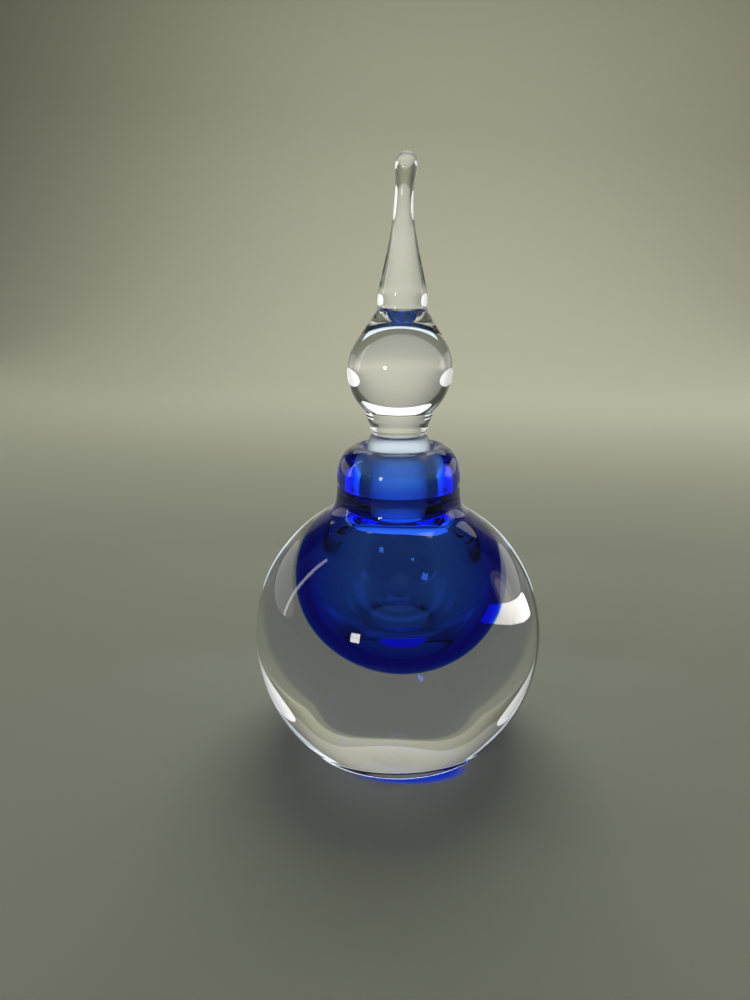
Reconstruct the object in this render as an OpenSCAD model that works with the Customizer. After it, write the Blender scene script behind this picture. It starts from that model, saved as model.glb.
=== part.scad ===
// Blown glass perfume bottle with a solid glass stopper.
// A thick clear body is cased over a thin cobalt blue bulb. A clear ring of
// glass is wound on as the lip, and the stopper's ground peg sits in the
// tapered bore of the neck. Everything is turned about the Z axis, and the
// flat ground base is at z = 0.

/* [Body] */
// Diameter of the body at its widest
body_d = 75; // [66:1:84]
// Height of the widest part above the base
widest_h = 29; // [27:0.5:31]
// Depth that the round underside would have below the widest part if it were not ground flat
belly_depth = 39; // [36:0.5:42]
// Height of the round top above the widest part
dome_rise = 37.7; // [36:0.1:39]
// Diameter of the flat ground base
base_d = 45; // [42:0.5:48]
// Height of the rounding between the flat base and the underside
base_round = 5.2; // [4:0.1:6.4]

/* [Blue bulb] */
// Outside diameter of the blue bulb
bulb_d = 40.5; // [36:0.5:44]
// Height of the bulb's centre above the body's widest part
bulb_lift = 12.1; // [11:0.1:13]
// Height of the bulb above its centre
bulb_rise = 24.5; // [23:0.1:25.5]
// Depth of the bulb below its centre
bulb_depth = 19; // [17:0.1:21]
// Thickness of the blue glass round the bulb
bulb_wall = 2.4; // [1.4:0.1:2.8]
// Outside diameter of the blue glass in the neck
sleeve_d = 21.6; // [20:0.1:22.4]
// Thickness of the blue glass at its top edge, where it thins out under the lip
sleeve_edge = 0.6; // [0.4:0.1:1]
// How far the blue glass stops below the mouth
sleeve_drop = 2.4; // [1.6:0.1:3]

/* [Neck and lip] */
// Diameter of the neck where it leaves the body
neck_d = 33; // [32:0.2:36]
// Diameter of the crease between the neck and the lip ring
crease_d = 31.2; // [30:0.2:31.4]
// Diameter of the lip ring at its widest
lip_d = 31.4; // [31:0.2:34]
// Height of the crease above the body's widest part
crease_lift = 40.4; // [39:0.2:41]
// Height of the lip ring above the crease
lip_height = 10.1; // [9:0.1:12]
// Diameter of the round crest on the lip ring
crest_d = 20.8; // [20:0.2:24]
// How far the mouth lies below the crest
mouth_drop = 1.7; // [1:0.1:2.2]

/* [Ground joint] */
// Diameter of the tapered bore at the mouth
bore_d = 16.5; // [15.5:0.1:17]
// Loss of diameter for each millimetre down the taper
taper = 0.1; // [0.06:0.01:0.12]
// Radial gap between the peg and the bore
peg_gap = 0.05; // [0.02:0.01:0.08]
// Length of the peg below the mouth
peg_length = 15.8; // [12:0.2:17]

/* [Stopper] */
// Height of the collar's foot above the mouth
collar_lift = 5.2; // [4.4:0.1:6]
// Diameter of the collar
collar_d = 14.4; // [13.6:0.1:15]
// Diameter of the ledge above the collar
ledge_d = 16.6; // [16:0.1:18]
// Height of the ledge above the foot of the collar
ledge_lift = 4; // [3.4:0.1:4.6]
// Diameter of the ball
ball_d = 25.9; // [24:0.1:28]
// Height of the ball's centre above the foot of the collar
ball_lift = 15.1; // [14.6:0.1:15.6]
// Diameter at the foot of the spire
spire_d = 11.8; // [11:0.1:12.2]
// Height of the spire's foot above the ball's centre
spire_lift = 18.4; // [17.8:0.1:19.2]
// Diameter of the thinnest part, under the knob
stem_d = 4.3; // [3.6:0.1:5]
// Height of the thinnest part above the ball's centre
stem_lift = 41.1; // [39:0.1:43]
// Diameter of the knob at the tip
knob_d = 5.1; // [4.6:0.1:6]
// Height of the tip above the ball's centre
tip_lift = 49.3; // [48:0.1:52]

/* [Hidden] */
$fn = 96;

body_r = body_d / 2;
base_r = base_d / 2;
neck_r = neck_d / 2;
crease_r = crease_d / 2;
lip_r = lip_d / 2;
crest_r = crest_d / 2;
bore_r = bore_d / 2;
sleeve_r = sleeve_d / 2;
bulb_r = bulb_d / 2;

crease_z = widest_h + crease_lift;
crest_z = crease_z + lip_height;
mouth_z = crest_z - mouth_drop;
sleeve_z = mouth_z - sleeve_drop;
peg_foot_z = mouth_z - peg_length;
bulb_z = widest_h + bulb_lift;
// The lip ring is widest this share of its height above the crease
lip_waist = 0.22;
lip_z = crease_z + lip_waist * lip_height;

// The dome ends this much wider than the neck, and the neck is straight this far above it
flare = 1.2;
neck_rise = 4;
// The blue bulb turns into its sleeve this much wider than the sleeve
bulb_flare = 4.5;
// Height over which the outside and the inside of the bulb draw in to the neck
outer_draw = 9;
inner_draw = 0.4;
// The bulb's inside turns into the bore this much wider than the peg's foot
bore_flare = 1.4;
// Chamfer round the peg's foot
peg_chamfer = 0.5;

// Points along part of an oval centred at c, with radii rx and rz
function oval(c, rx, rz, a0, a1, steps) =
    [for (i = [0:steps]) let (a = a0 + (a1 - a0) * i / steps) c + [rx * cos(a), rz * sin(a)]];

// Points along a cubic curve from p0 to p3, without its first point. p1 and p2 are its handles,
// which below are short steps from its ends that set how it leaves and arrives
function bend(p0, p1, p2, p3, steps) =
    [for (i = [1:steps]) let (t = i / steps, u = 1 - t)
        u * u * u * p0 + 3 * u * u * t * p1 + 3 * u * t * t * p2 + t * t * t * p3];

// The list without its first point
function rest(points) = [for (i = [1:len(points) - 1]) points[i]];

// Radius of the bore, and of the peg in it, at a height
function bore_at(z) = bore_r - (mouth_z - z) * taper / 2;
function peg_at(z) = bore_at(z) - peg_gap;

// A point on the bulb by its angle down from the top, on its outside or a wall further in
function bulb_at(a, wall) =
    [(bulb_r - wall) * sin(a), bulb_z + ((a < 90 ? bulb_rise : bulb_depth) - wall) * cos(a)];

// The sleeve stays thin over much of its height above the crease, then thickens in a short run
thin_run = 0.85;
full_run = 0.25;

// Outside of the blue glass above the crease, from its rounded top edge down
edge_r = sleeve_edge / 2;
function blue_above() = let (
        edge = oval([bore_at(sleeve_z) + edge_r, sleeve_z - edge_r], edge_r, edge_r, 90, 0, 6),
        from = edge[6],
        to = [sleeve_r, crease_z],
        run = from[1] - to[1]
    ) concat(edge, bend(from, from - [0, thin_run * run], to + [0, full_run * run], to, 6));

// Outside of the blue glass below the crease, down to the bulb's lowest point
bulb_start = asin((sleeve_r + bulb_flare) / bulb_r);
function blue_below() = let (
        to = bulb_at(bulb_start, 0),
        from = [sleeve_r, to[1] + outer_draw],
        way = [-bulb_r * cos(bulb_start), bulb_rise * sin(bulb_start)]
    ) concat(
        [from],
        bend(from, from - [0, 3.5], to + 3 * way / norm(way), to, 8),
        [for (i = [1:28]) bulb_at(bulb_start + (180 - bulb_start) * i / 28, 0)]
    );

// Inside of the blue glass, from the bulb's lowest point up to the top of the sleeve
bulb_end = asin((bore_at(peg_foot_z) + bore_flare) / (bulb_r - bulb_wall));
function blue_inside() = let (
        from = bulb_at(bulb_end, bulb_wall),
        to = [bore_at(peg_foot_z - inner_draw), peg_foot_z - inner_draw]
    ) concat(
        [for (i = [0:28]) bulb_at(180 - (180 - bulb_end) * i / 28, bulb_wall)],
        bend(from, from + [-0.9, 0.6], to - [0, 1], to, 6),
        [[bore_at(sleeve_z), sleeve_z]]
    );

// Outside of the body and neck, from the base up to the crease
base_angle = asin((base_round - widest_h) / belly_depth);
dome_end = acos((neck_r + flare) / body_r);
function body_outside() = let (
        belly = oval([0, widest_h], body_r, belly_depth, base_angle, 0, 24),
        dome = oval([0, widest_h], body_r, dome_rise, 0, dome_end, 30),
        way = [-body_r * sin(base_angle), belly_depth * cos(base_angle)],
        reach = norm(belly[0] - [base_r, 0]) / 2,
        from = dome[len(dome) - 1],
        to = [neck_r - flare / 2, from[1] + neck_rise],
        crease = [crease_r, crease_z]
    ) concat(
        [[0, 0], [base_r, 0]],
        bend([base_r, 0], [base_r + reach, 0], belly[0] - reach * way / norm(way), belly[0], 8),
        rest(belly),
        rest(dome),
        bend(from, from + [-1, 0.9], to + [0.15, -1.4], to, 7),
        bend(to, to + [-0.2, 1.4], crease + [0.2, -0.8], crease, 6)
    );

// Section of the clear lip ring, from the crease over the crest to the bore
function lip_outside() = concat(
        bend([crease_r, crease_z], [crease_r, crease_z + 0.8], [lip_r, lip_z - 1], [lip_r, lip_z], 6),
        rest(oval([crest_r, lip_z], lip_r - crest_r, crest_z - lip_z, 0, 90, 15)),
        rest(oval([crest_r, mouth_z], crest_r - bore_r, mouth_drop, 90, 180, 12))
    );

// Clear glass of the body and neck, up to the crease under the lip ring
module bottle_casing() {
    color("aliceblue", 0.35)
        rotate_extrude()
            polygon(concat(body_outside(), [[sleeve_r, crease_z]], blue_below()));
}

// Thin blue glass: the bulb that holds the perfume, and its sleeve up the neck
module cobalt_lining() {
    color("mediumblue", 0.75)
        rotate_extrude()
            polygon(concat(blue_above(), blue_below(), blue_inside()));
}

// Clear glass wound round the top of the neck and over the end of the blue sleeve
module lip_ring() {
    color("azure", 0.4)
        rotate_extrude()
            polygon(concat([[crease_r, crease_z]], lip_outside(), blue_above()));
}

foot_z = mouth_z + collar_lift;
ball_z = foot_z + ball_lift;
tip_z = ball_z + tip_lift;
collar_r = collar_d / 2;
ball_r = ball_d / 2;
// The ball runs into the cone of the shoulder at this angle above its widest part
shoulder_angle = 34;
// Length of the cone of the shoulder
shoulder_run = 8;
// The peg narrows to this much inside the collar, over a step this high above the collar's foot
waist = 0.25;
waist_rise = 0.4;
// Height of the knob above its widest part
knob_rise = 3;
function stopper_outside() = let (
        heel = [peg_at(peg_foot_z + peg_chamfer), peg_foot_z + peg_chamfer],
        top = [peg_at(mouth_z), mouth_z],
        neck = [collar_r - waist, foot_z - 0.6],
        step = [collar_r, foot_z + waist_rise],
        ledge = [ledge_d / 2, foot_z + ledge_lift],
        ball_start = -acos((ledge[0] + 0.3) / ball_r),
        ball = oval([0, ball_z], ball_r, ball_r, ball_start, shoulder_angle, 24),
        shoulder = ball[len(ball) - 1],
        spire = [spire_d / 2, ball_z + spire_lift],
        stem = [stem_d / 2, ball_z + stem_lift],
        knob = [knob_d / 2, tip_z - knob_rise],
        way = [-sin(shoulder_angle), cos(shoulder_angle)],
        corner = shoulder + shoulder_run * way
    ) concat(
        [[0, peg_foot_z], [heel[0] - peg_chamfer, peg_foot_z], heel, top],
        bend(top, top + [0, 1.6], neck + [0.35, -1], neck, 6),
        bend(neck, neck + [-0.05, 0.4], step - [0, 0.5], step, 4),
        bend(step, step + [0, 1.6], ledge - [0.5, 1.4], ledge, 6),
        bend(ledge, ledge + [0.1, 0.3], ball[0] - [0.3, 0.3], ball[0], 3),
        rest(ball),
        [corner],
        bend(corner, corner + way, spire + [0.2, -2], spire, 6),
        bend(spire, spire + [-1.6, 8], stem + [0, -9], stem, 10),
        bend(stem, stem + [0, 1.8], knob - [0, 2], knob, 5),
        bend(knob, knob + [0, 1.7], [knob[0] * 0.62, tip_z], [0, tip_z], 8)
    );

// Solid clear stopper: ground peg, collar, ball, spire and knob in one piece of glass
module stopper() {
    color("ghostwhite", 0.5)
        rotate_extrude()
            polygon(stopper_outside());
}

bottle_casing();
cobalt_lining();
lip_ring();
stopper();
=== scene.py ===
"""A blown glass perfume bottle: clear glass over a cobalt blue bulb, with a ball and spire stopper."""

import math

import bmesh
import bpy
from mathutils import Matrix, Vector


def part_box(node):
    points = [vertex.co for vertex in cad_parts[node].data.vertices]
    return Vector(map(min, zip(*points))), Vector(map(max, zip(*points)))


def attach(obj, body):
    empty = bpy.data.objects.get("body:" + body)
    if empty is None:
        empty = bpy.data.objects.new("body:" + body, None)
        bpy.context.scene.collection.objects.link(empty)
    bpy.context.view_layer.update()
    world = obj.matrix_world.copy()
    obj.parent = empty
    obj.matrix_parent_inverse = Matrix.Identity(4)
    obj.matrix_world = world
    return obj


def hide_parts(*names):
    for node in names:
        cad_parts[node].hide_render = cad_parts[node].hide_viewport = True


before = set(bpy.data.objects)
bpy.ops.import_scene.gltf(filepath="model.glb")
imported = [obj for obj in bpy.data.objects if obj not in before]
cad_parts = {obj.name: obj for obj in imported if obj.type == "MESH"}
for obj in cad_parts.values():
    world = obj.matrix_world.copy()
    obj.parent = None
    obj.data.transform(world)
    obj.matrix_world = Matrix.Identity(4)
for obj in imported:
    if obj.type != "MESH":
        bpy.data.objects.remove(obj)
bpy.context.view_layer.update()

MM = 0.001

# ---------------------------------------------------------------- sizes, in millimetres
def corners(node):
    """The low and the high corner of a node's box."""
    low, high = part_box(node)
    return low / MM, high / MM


body_r, _, crease_z = corners("bottle_casing")[1]
lip_r, _, crest_z = corners("lip_ring")[1]
bulb_foot_z = corners("cobalt_lining")[0].z
bulb_r, _, sleeve_z = corners("cobalt_lining")[1]
peg_foot_z = corners("stopper")[0].z
ball_r, _, tip_z = corners("stopper")[1]

# body and neck
widest_z = crease_z - 40.4
belly_depth = 39.0
dome_rise = 37.7
base_r = 22.5
base_round = 5.2
neck_r = 16.5
flare = 1.2
neck_rise = 4.0
crease_r = 15.6

# lip and ground joint
lip_waist = 0.22
lip_z = crease_z + lip_waist * (crest_z - crease_z)
crest_r = 10.4
mouth_drop = 1.7
mouth_z = crest_z - mouth_drop
bore_r = 8.25
taper = 0.05
peg_gap = 0.05
peg_chamfer = 0.5

# blue glass
sleeve_r = 10.8
sleeve_edge = 0.6
thin_run, full_run = 0.85, 0.25
bulb_z = widest_z + 12.1
bulb_rise = 24.5
bulb_depth = bulb_z - bulb_foot_z
bulb_wall = 2.4
bulb_flare = 4.5
outer_draw = 9.0
inner_draw = 0.4
bore_flare = 1.4
# How far the blue piece reaches into the clear glass round its bore, so that no air shows between
overlap = 0.04

# stopper
foot_z = mouth_z + 5.2
collar_r = 7.2
collar_waist, waist_rise = 0.25, 0.4
ledge_r, ledge_rise = 8.3, 4.0
ball_z = tip_z - 49.3
shoulder_angle, shoulder_run = 34.0, 8.0
spire_r, spire_rise = 5.9, 18.4
stem_r, stem_rise = 2.15, 41.1
knob_r, knob_rise = 2.55, 3.0

CLEAR = (0.985, 0.99, 0.99)
GLASS_IOR = 1.5

# The turned pieces are this many equal sectors, each of this many steps
SECTORS, SECTOR_STEPS = 16, 14


# ---------------------------------------------------------------- outlines
def arc(centre, rx, rz, start, stop, steps):
    """Points along part of an oval, from start to stop in degrees."""
    points = []
    for i in range(steps + 1):
        a = math.radians(start + (stop - start) * i / steps)
        points.append(Vector((centre[0] + rx * math.cos(a), centre[1] + rz * math.sin(a))))
    return points


def bend(p0, p1, p2, p3, steps):
    """Points along a cubic curve, without its first point."""
    p0, p1, p2, p3 = Vector(p0), Vector(p1), Vector(p2), Vector(p3)
    points = []
    for i in range(1, steps + 1):
        t = i / steps
        u = 1 - t
        points.append(p0 * u**3 + p1 * 3 * u * u * t + p2 * 3 * u * t * t + p3 * t**3)
    return points


def bore_at(z):
    return bore_r - (mouth_z - z) * taper


def bulb_point(angle, wall):
    """A point on the bulb, by its angle down from the top."""
    a = math.radians(angle)
    rise = bulb_rise if angle < 90 else bulb_depth
    return Vector(((bulb_r - wall) * math.sin(a), bulb_z + (rise - wall) * math.cos(a)))


def body_outside():
    foot = math.degrees(math.asin((base_round - widest_z) / belly_depth))
    dome_end = math.degrees(math.acos((neck_r + flare) / body_r))
    belly = arc((0, widest_z), body_r, belly_depth, foot, 0, 60)
    dome = arc((0, widest_z), body_r, dome_rise, 0, dome_end, 60)
    a = math.radians(foot)
    way = Vector((-body_r * math.sin(a), belly_depth * math.cos(a))).normalized()
    rim = Vector((base_r, 0))
    reach = (belly[0] - rim).length / 2
    start = dome[-1]
    end = Vector((neck_r - flare / 2, start.y + neck_rise))
    crease = Vector((crease_r, crease_z))
    return (
        [Vector((base_r * k / 12, 0)) for k in range(12)]
        + [rim - Vector((0.4, 0)), rim]
        + bend(rim, rim + Vector((reach, 0)), belly[0] - reach * way, belly[0], 20)
        + belly[1:]
        + dome[1:]
        + bend(start, start + Vector((-1, 0.9)), end + Vector((0.15, -1.4)), end, 16)
        + bend(end, end + Vector((-0.2, 1.4)), crease + Vector((0.2, -0.8)), crease, 14)
    )


def lip_outside():
    crease = Vector((crease_r, crease_z))
    waist = Vector((lip_r, lip_z))
    over = arc((crest_r, lip_z), lip_r - crest_r, crest_z - lip_z, 0, 90, 40)
    inner = arc((crest_r, mouth_z), crest_r - bore_r, mouth_drop, 90, 180, 24)
    return bend(crease, crease + Vector((0, 0.8)), waist - Vector((0, 1)), waist, 12) + over[1:] + inner[1:]


def cavity(out):
    """The bore and the inside of the bulb, from the mouth down. out moves it into the glass."""
    end = math.degrees(math.asin((bore_at(peg_foot_z) + bore_flare) / (bulb_r - bulb_wall)))
    low = bulb_point(end, bulb_wall - out)
    high_z = peg_foot_z - inner_draw
    high = Vector((bore_at(high_z) + out, high_z))
    top = sleeve_z if out else mouth_z
    straight = [
        Vector((bore_at(z) + out, z))
        for z in (top + (high.y - top) * k / 20 for k in range(20))
    ]
    curve = bend(low, low + Vector((-0.9, 0.6)), high - Vector((0, 1)), high, 16)
    round_part = [bulb_point(end + (180 - end) * k / 80, bulb_wall - out) for k in range(1, 81)]
    return straight + curve[::-1] + [low] + round_part


def sleeve_outside():
    """The outside of the blue glass, from its top edge down to the bulb's lowest point."""
    tip = sleeve_edge / 2
    edge = arc((bore_at(sleeve_z) + tip, sleeve_z - tip), tip, tip, 90, 0, 8)
    shoulder = Vector((sleeve_r, crease_z))
    reach = Vector((0, edge[-1].y - crease_z))
    start = math.degrees(math.asin((sleeve_r + bulb_flare) / bulb_r))
    low = bulb_point(start, 0)
    high = Vector((sleeve_r, low.y + outer_draw))
    a = math.radians(start)
    way = Vector((-bulb_r * math.cos(a), bulb_rise * math.sin(a))).normalized()
    return (
        edge
        + bend(edge[-1], edge[-1] - thin_run * reach, shoulder + full_run * reach, shoulder, 16)
        + [shoulder.lerp(high, k / 10) for k in range(1, 11)]
        + bend(high, high - Vector((0, 3.5)), low + 3 * way, low, 20)
        + [bulb_point(start + (180 - start) * k / 90, 0) for k in range(1, 91)]
    )


def stopper_outside():
    ledge = Vector((ledge_r, foot_z + ledge_rise))
    foot_angle = math.degrees(math.acos((ledge.x + 0.3) / ball_r))
    ball = arc((0, ball_z), ball_r, ball_r, -foot_angle, shoulder_angle, 60)
    a = math.radians(shoulder_angle)
    lean = Vector((-math.sin(a), math.cos(a)))
    corner = ball[-1] + shoulder_run * lean
    spire = Vector((spire_r, ball_z + spire_rise))
    stem = Vector((stem_r, ball_z + stem_rise))
    knob = Vector((knob_r, tip_z - knob_rise))
    neck = Vector((collar_r - collar_waist, foot_z - 0.6))
    step = Vector((collar_r, foot_z + waist_rise))
    heel_z = peg_foot_z + peg_chamfer
    foot = Vector((bore_at(peg_foot_z) - peg_gap - peg_chamfer, peg_foot_z))
    heel = Vector((bore_at(heel_z) - peg_gap, heel_z))
    top = Vector((bore_at(mouth_z) - peg_gap, mouth_z))
    return (
        [Vector((foot.x * k / 8, peg_foot_z)) for k in range(8)]
        + [foot]
        + bend(foot, foot + Vector((0.3, 0)), heel - Vector((0, 0.3)), heel, 5)
        + [heel.lerp(top, k / 20) for k in range(1, 21)]
        + bend(top, top + Vector((0, 1.6)), neck + Vector((0.35, -1)), neck, 14)
        + bend(neck, neck + Vector((-0.05, 0.4)), step - Vector((0, 0.5)), step, 8)
        + bend(step, step + Vector((0, 1.6)), ledge - Vector((0.5, 1.4)), ledge, 12)
        + bend(ledge, ledge + Vector((0.1, 0.3)), ball[0] - Vector((0.3, 0.3)), ball[0], 6)
        + ball[1:]
        + [ball[-1].lerp(corner, k / 14) for k in range(1, 15)]
        + bend(corner, corner + lean, spire + Vector((0.2, -2)), spire, 16)
        + bend(spire, spire + Vector((-1.6, 8)), stem + Vector((0, -9)), stem, 28)
        + bend(stem, stem + Vector((0, 1.8)), knob - Vector((0, 2)), knob, 12)
        + bend(knob, knob + Vector((0, 1.7)), (knob.x * 0.62, tip_z), (0, tip_z), 16)
    )


# ---------------------------------------------------------------- made by hand
def ease(value, start, stop):
    """0 before start, 1 after stop, and smooth in between."""
    t = min(1, max(0, (value - start) / (stop - start)))
    return t * t * (3 - 2 * t)


def blown(p):
    """The small unevenness of the blown bottle. The bore keeps its shape, and the base stays flat."""
    oval, three_sided, off_centre, lip_sag = 0.22, 0.16, 0.45, 0.15
    x, y, z = p
    r, a = math.hypot(x, y), math.atan2(y, x)
    swell = oval * math.sin(2 * a + 0.7) + three_sided * math.sin(3 * a - 0.05 * z + 1.9)
    grow = 1 + swell * ease(r, 9, 34) / max(r, 1)
    drift = off_centre * ease(z, peg_foot_z - 1, peg_foot_z - 12) * ease(r, 34, 22)
    sag = lip_sag * math.sin(a + 2.2) * ease(z, crease_z, crest_z) * ease(r, 9, 12)
    return Vector((x * grow + drift, y * grow, z + sag))


def drawn(p):
    """The stopper's spire leans a little, as drawn glass does. The peg stays straight."""
    lean = 0.6
    x, y, z = p
    side = lean * ease(z, ball_z - 6, ball_z + 22) + lean * ease(z, ball_z + 36, tip_z)
    return Vector((x + side, y, z))


# ---------------------------------------------------------------- turning
def turned(name, outline, shape):
    """A closed piece of glass, turned about the Z axis from an outline that starts and ends on it."""
    step = math.tau / SECTORS
    wedge = bmesh.new()
    verts = [wedge.verts.new((p.x, 0, p.y)) for p in outline]
    edges = [wedge.edges.new(pair) for pair in zip(verts, verts[1:])]
    bmesh.ops.spin(
        wedge, geom=verts + edges, cent=(0, 0, 0), axis=(0, 0, 1), dvec=(0, 0, 0),
        angle=step, steps=SECTOR_STEPS,
    )
    part = bpy.data.meshes.new(name)
    wedge.to_mesh(part)
    wedge.free()
    bm = bmesh.new()
    for k in range(SECTORS):
        part.transform(Matrix.Rotation(step, 4, "Z"))
        bm.from_mesh(part)
    bmesh.ops.remove_doubles(bm, verts=bm.verts, dist=1e-4)
    bmesh.ops.recalc_face_normals(bm, faces=bm.faces)
    for vert in bm.verts:
        vert.co = shape(vert.co) * MM
    for face in bm.faces:
        face.smooth = True
    bm.to_mesh(part)
    bm.free()
    piece = bpy.data.objects.new(name, part)
    bpy.context.scene.collection.objects.link(piece)
    return piece


# ---------------------------------------------------------------- materials
def new_material(name):
    material = bpy.data.materials.new(name)
    material.use_nodes = True
    nodes = material.node_tree.nodes
    return material, nodes, material.node_tree.links, nodes["Principled BSDF"]


def new_glass(name, colour, ior):
    material, nodes, links, glass = new_material(name)
    glass.inputs["Base Color"].default_value = (*colour, 1)
    glass.inputs["Transmission Weight"].default_value = 1
    glass.inputs["IOR"].default_value = ior
    return material, nodes, links, glass


def ramp(nodes, links, value, start, stop, top):
    """A socket that goes from 0 at start to top at stop. The ends are in millimetres."""
    step = nodes.new("ShaderNodeMapRange")
    step.inputs["From Min"].default_value = start * MM
    step.inputs["From Max"].default_value = stop * MM
    step.inputs["To Min"].default_value = 0.0
    step.inputs["To Max"].default_value = top
    links.new(value, step.inputs["Value"])
    return step.outputs[0]


def height(nodes, links, place):
    """A socket with the height above the base."""
    split = nodes.new("ShaderNodeSeparateXYZ")
    links.new(place.outputs["Object"], split.inputs[0])
    return split.outputs["Z"]


def clear_glass():
    """Clear glass, ground matt in the upper part of the bore."""
    material, nodes, links, glass = new_glass("clear_glass", CLEAR, GLASS_IOR)
    place = nodes.new("ShaderNodeTexCoord")
    flat = nodes.new("ShaderNodeVectorMath")
    flat.operation = "MULTIPLY"
    flat.inputs[1].default_value = (1, 1, 0)
    radius = nodes.new("ShaderNodeVectorMath")
    radius.operation = "LENGTH"
    links.new(place.outputs["Object"], flat.inputs[0])
    links.new(flat.outputs[0], radius.inputs[0])
    inside = ramp(nodes, links, radius.outputs["Value"], bore_r + 0.5, bore_r + 0.3, 1.0)
    above = ramp(nodes, links, height(nodes, links, place), crease_z + 2, crease_z + 4, 0.4)
    matt = nodes.new("ShaderNodeMath")
    matt.operation = "MULTIPLY"
    links.new(inside, matt.inputs[0])
    links.new(above, matt.inputs[1])
    links.new(matt.outputs[0], glass.inputs["Roughness"])
    return material


def cobalt_glass():
    """Blue glass that bends no light of its own, so that it reads as one mass with the clear glass."""
    material, nodes, links, glass = new_glass("cobalt_glass", (1, 1, 1), 1.0)
    glass.inputs["Roughness"].default_value = 0.0
    soak = nodes.new("ShaderNodeVolumeAbsorption")
    soak.inputs["Color"].default_value = (0.03, 0.46, 0.968, 1)
    soak.inputs["Density"].default_value = 700
    links.new(soak.outputs[0], nodes["Material Output"].inputs["Volume"])
    return material


def stopper_glass():
    """Clear glass, ground matt on the peg below the collar."""
    material, nodes, links, glass = new_glass("stopper_glass", CLEAR, GLASS_IOR)
    place = nodes.new("ShaderNodeTexCoord")
    z = height(nodes, links, place)
    links.new(ramp(nodes, links, z, foot_z - 0.4, foot_z - 1.2, 0.35), glass.inputs["Roughness"])
    return material


# ---------------------------------------------------------------- pieces
# The casing and the lip ring are one mass of clear glass, so one piece shows both
bottle = turned("bottle_glass", body_outside() + lip_outside() + cavity(0)[1:], blown)
bottle.data.materials.append(clear_glass())
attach(bottle, "bottle")
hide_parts("bottle_casing", "lip_ring")

lining = turned("blue_bulb", sleeve_outside()[::-1] + cavity(overlap), blown)
lining.data.materials.append(cobalt_glass())
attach(lining, "bottle")
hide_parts("cobalt_lining")

stopper = turned("glass_stopper", stopper_outside(), drawn)
stopper.data.materials.append(stopper_glass())
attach(stopper, "stopper")
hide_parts("stopper")


# ---------------------------------------------------------------- stage
def floor_mesh():
    """A sheet that lies flat and curves up into a wall. Sizes in metres."""
    front_y, wall_y, sweep_r, wall_top, half, sweep_steps = -1.3, 1.15, 0.45, 1.4, 1.9, 24
    bm = bmesh.new()
    foot_y = wall_y - sweep_r
    line = [Vector((0, front_y, 0)), Vector((0, foot_y, 0))]
    for k in range(1, sweep_steps + 1):
        a = math.radians(90 * k / sweep_steps)
        line.append(Vector((0, foot_y + sweep_r * math.sin(a), sweep_r - sweep_r * math.cos(a))))
    line.append(Vector((0, wall_y, wall_top)))
    verts = [bm.verts.new(p - Vector((half, 0, 0))) for p in line]
    edges = [bm.edges.new(pair) for pair in zip(verts, verts[1:])]
    made = bmesh.ops.extrude_edge_only(bm, edges=edges)
    new_verts = [g for g in made["geom"] if isinstance(g, bmesh.types.BMVert)]
    bmesh.ops.translate(bm, verts=new_verts, vec=(2 * half, 0, 0))
    bmesh.ops.recalc_face_normals(bm, faces=bm.faces)
    for face in bm.faces:
        face.smooth = True
    mesh = bpy.data.meshes.new("studio_floor")
    bm.to_mesh(mesh)
    bm.free()
    return mesh


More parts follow.
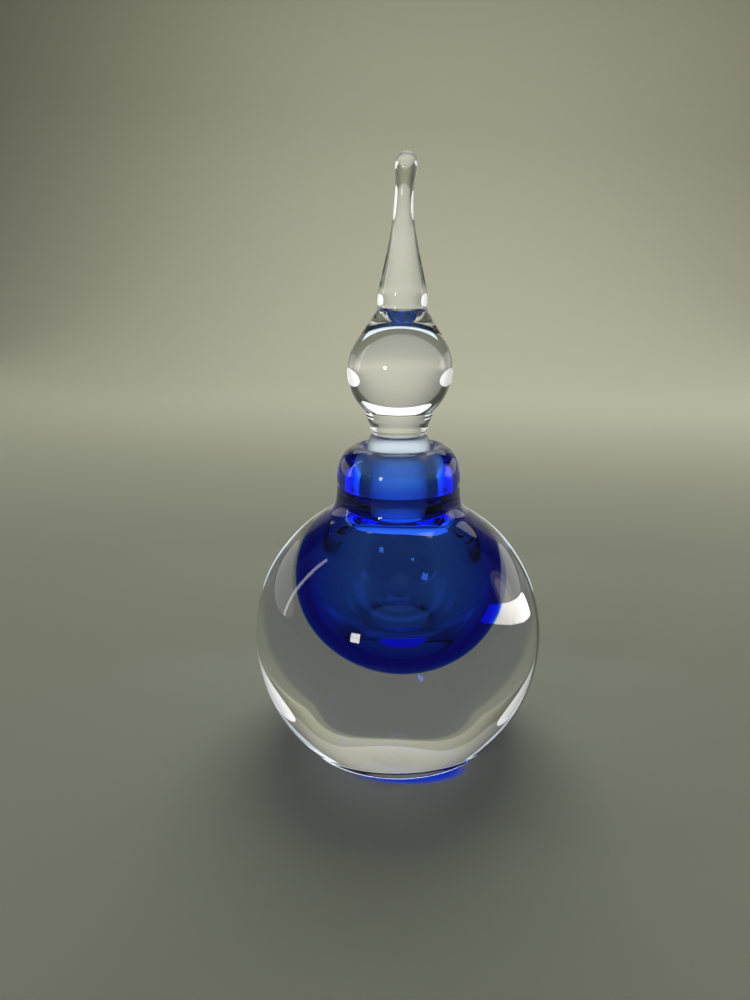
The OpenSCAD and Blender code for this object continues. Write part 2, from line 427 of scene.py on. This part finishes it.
def studio_paper():
    """Pale paper, with a painted shade behind the bottle, a painted blue glow in front of it for the
    blue light that it throws there, and a faint painted light under its base for the light that it lets
    through."""
    material, nodes, links, paper = new_material("studio_paper")
    paper.inputs["Roughness"].default_value = 0.85
    paper.inputs["Specular IOR Level"].default_value = 0.2
    place = nodes.new("ShaderNodeTexCoord")

    def vector_step(operation, values, source):
        step = nodes.new("ShaderNodeVectorMath")
        step.operation = operation
        step.inputs[1].default_value = values
        links.new(source, step.inputs[0])
        return step

    def patch(x, y, half_x, half_y, inner):
        """1 inside an oval on the floor, fading to 0 at its edge. Sizes in millimetres."""
        shift = vector_step("SUBTRACT", (x * MM, y * MM, 0), place.outputs["Object"])
        scale = vector_step("DIVIDE", (half_x * MM, half_y * MM, 1), shift.outputs[0])
        size = vector_step("LENGTH", (0, 0, 0), scale.outputs[0])
        fade = nodes.new("ShaderNodeMapRange")
        fade.interpolation_type = "SMOOTHSTEP"
        fade.inputs["From Min"].default_value = 1.0
        fade.inputs["From Max"].default_value = inner
        links.new(size.outputs["Value"], fade.inputs["Value"])
        return fade.outputs[0]

    def blend(factor, colour_a, colour_b):
        """A colour that goes from a to b, where a is a colour or a socket."""
        mix = nodes.new("ShaderNodeMix")
        mix.data_type = "RGBA"
        if isinstance(colour_a, tuple):
            mix.inputs["A"].default_value = (*colour_a, 1)
        else:
            links.new(colour_a, mix.inputs["A"])
        mix.inputs["B"].default_value = (*colour_b, 1)
        links.new(factor, mix.inputs["Factor"])
        return mix.outputs["Result"]

    # Painted shadow: the paper is darker in an oval behind the bottle
    shade = patch(0, 62, 36, 62, 0.5)
    # Painted blue light: a blue oval in front of the base, in the paper's colour and as a glow
    painted_blue_light = patch(2.5, -20, 17.5, 8, 0.7)
    # Painted light: a faint glow on the paper under the base
    painted_light_under_base = patch(0, 0, base_r, base_r, 0.9)
    pale = blend(shade, (0.40, 0.42, 0.32), (0.26, 0.27, 0.25))
    links.new(blend(painted_blue_light, pale, (0.02, 0.05, 0.25)), paper.inputs["Base Color"])
    # The painted glow's colour: blue in front of the base, faint grey under it
    painted_glow_colour = blend(painted_blue_light, (0.1, 0.1, 0.085), (0.0, 0.02, 0.36))
    links.new(painted_glow_colour, paper.inputs["Emission Color"])
    # The painted glow takes the stronger of the blue oval and the light under the base
    strength = nodes.new("ShaderNodeMath")
    strength.operation = "MAXIMUM"
    links.new(painted_blue_light, strength.inputs[0])
    links.new(painted_light_under_base, strength.inputs[1])
    links.new(strength.outputs[0], paper.inputs["Emission Strength"])
    return material


def studio_floor():
    """The sheet that the bottle stands on, which is also the wall behind it."""
    mesh = floor_mesh()
    mesh.materials.append(studio_paper())
    floor = bpy.data.objects.new("studio_floor", mesh)
    bpy.context.scene.collection.objects.link(floor)


def light_box(name, azimuth, elevation, distance, width, height, glow, colour=(1, 1, 1), aim=None):
    """An area light that faces aim, in a compass direction from the bottle with 0 behind it and 90
    on its right. It is oval if its name says soft. Sizes are in metres."""
    lamp = bpy.data.lights.new(name, "AREA")
    lamp.shape = "ELLIPSE" if "soft" in name else "RECTANGLE"
    lamp.size, lamp.size_y = width, height
    lamp.energy = math.pi * width * height * glow
    lamp.color = colour
    box = bpy.data.objects.new(name, lamp)
    a, e = math.radians(azimuth), math.radians(elevation)
    way = Vector((math.sin(a) * math.cos(e), math.cos(a) * math.cos(e), math.sin(e)))
    centre = Vector((0, 0, widest_z * MM))
    box.location = centre + way * distance
    box.rotation_euler = (box.location - Vector(aim or centre)).to_track_quat("Z", "Y").to_euler()
    bpy.context.scene.collection.objects.link(box)


def room_light():
    world = bpy.data.worlds.new("room")
    world.use_nodes = True
    sky = world.node_tree.nodes["Background"]
    sky.inputs["Color"].default_value = (0.98, 0.99, 1.0, 1)
    sky.inputs["Strength"].default_value = 0.08
    bpy.context.scene.world = world


studio_floor()
room_light()
light_box("backdrop_light", 18, 42, 0.75, 1.1, 0.35, 2.75, (1, 0.915, 0.9), (0.25, 1.05, 0.05))
light_box("top_lamp", 4, 60, 1.1, 0.8, 0.6, 2.1)
light_box("back_panel_soft", 5, 38, 1.1, 1.5, 0.4, 0.9)
light_box("right_back_soft", 62, 8, 0.9, 0.9, 0.28, 0.85)
light_box("left_back_soft", -62, 8, 0.9, 0.9, 0.28, 0.65)
light_box("right_window_soft", 76, 12, 0.8, 0.16, 0.26, 0.75, (1, 0.86, 0.7))
light_box("right_haze_soft", 75, 10, 0.82, 0.3, 0.44, 0.3, (1, 0.95, 0.88))
light_box("left_strip", -80, 22, 0.8, 0.04, 0.6, 3.5)
light_box("neck_light", 0, 3, 0.064, 0.12, 0.03, 1.1, (0.75, 0.88, 1), (0, 0.01, 0.066))
light_box("ball_light_soft", 0, 23, 0.163, 0.28, 0.16, 0.12, (1, 1, 1), (0, 0, 0.098))
light_box("front_window", -148, 15, 0.8, 0.1, 0.09, 16.0, (1, 0.95, 0.9))


# ---------------------------------------------------------------- camera
def camera():
    """Looks down at the bottle from in front of it."""
    away, rise = 4.945 * body_r, 2.379 * body_r
    pitch, yaw = 16.0, 1.85
    lens = bpy.data.cameras.new("camera")
    lens.sensor_width = 36
    lens.lens = 27.04
    lens.clip_start = 0.01
    cam = bpy.data.objects.new("camera", lens)
    cam.location = Vector((0, -away, widest_z + rise)) * MM
    cam.rotation_euler = (math.radians(90 - pitch), 0, math.radians(yaw))
    bpy.context.scene.collection.objects.link(cam)
    bpy.context.scene.camera = cam


camera()

scene = bpy.context.scene
scene.view_settings.view_transform = "Standard"
# Enough for light to cross every wall of glass and come back
BOUNCES = 24
scene.cycles.max_bounces = BOUNCES
scene.cycles.transmission_bounces = BOUNCES
scene.cycles.transparent_max_bounces = BOUNCES
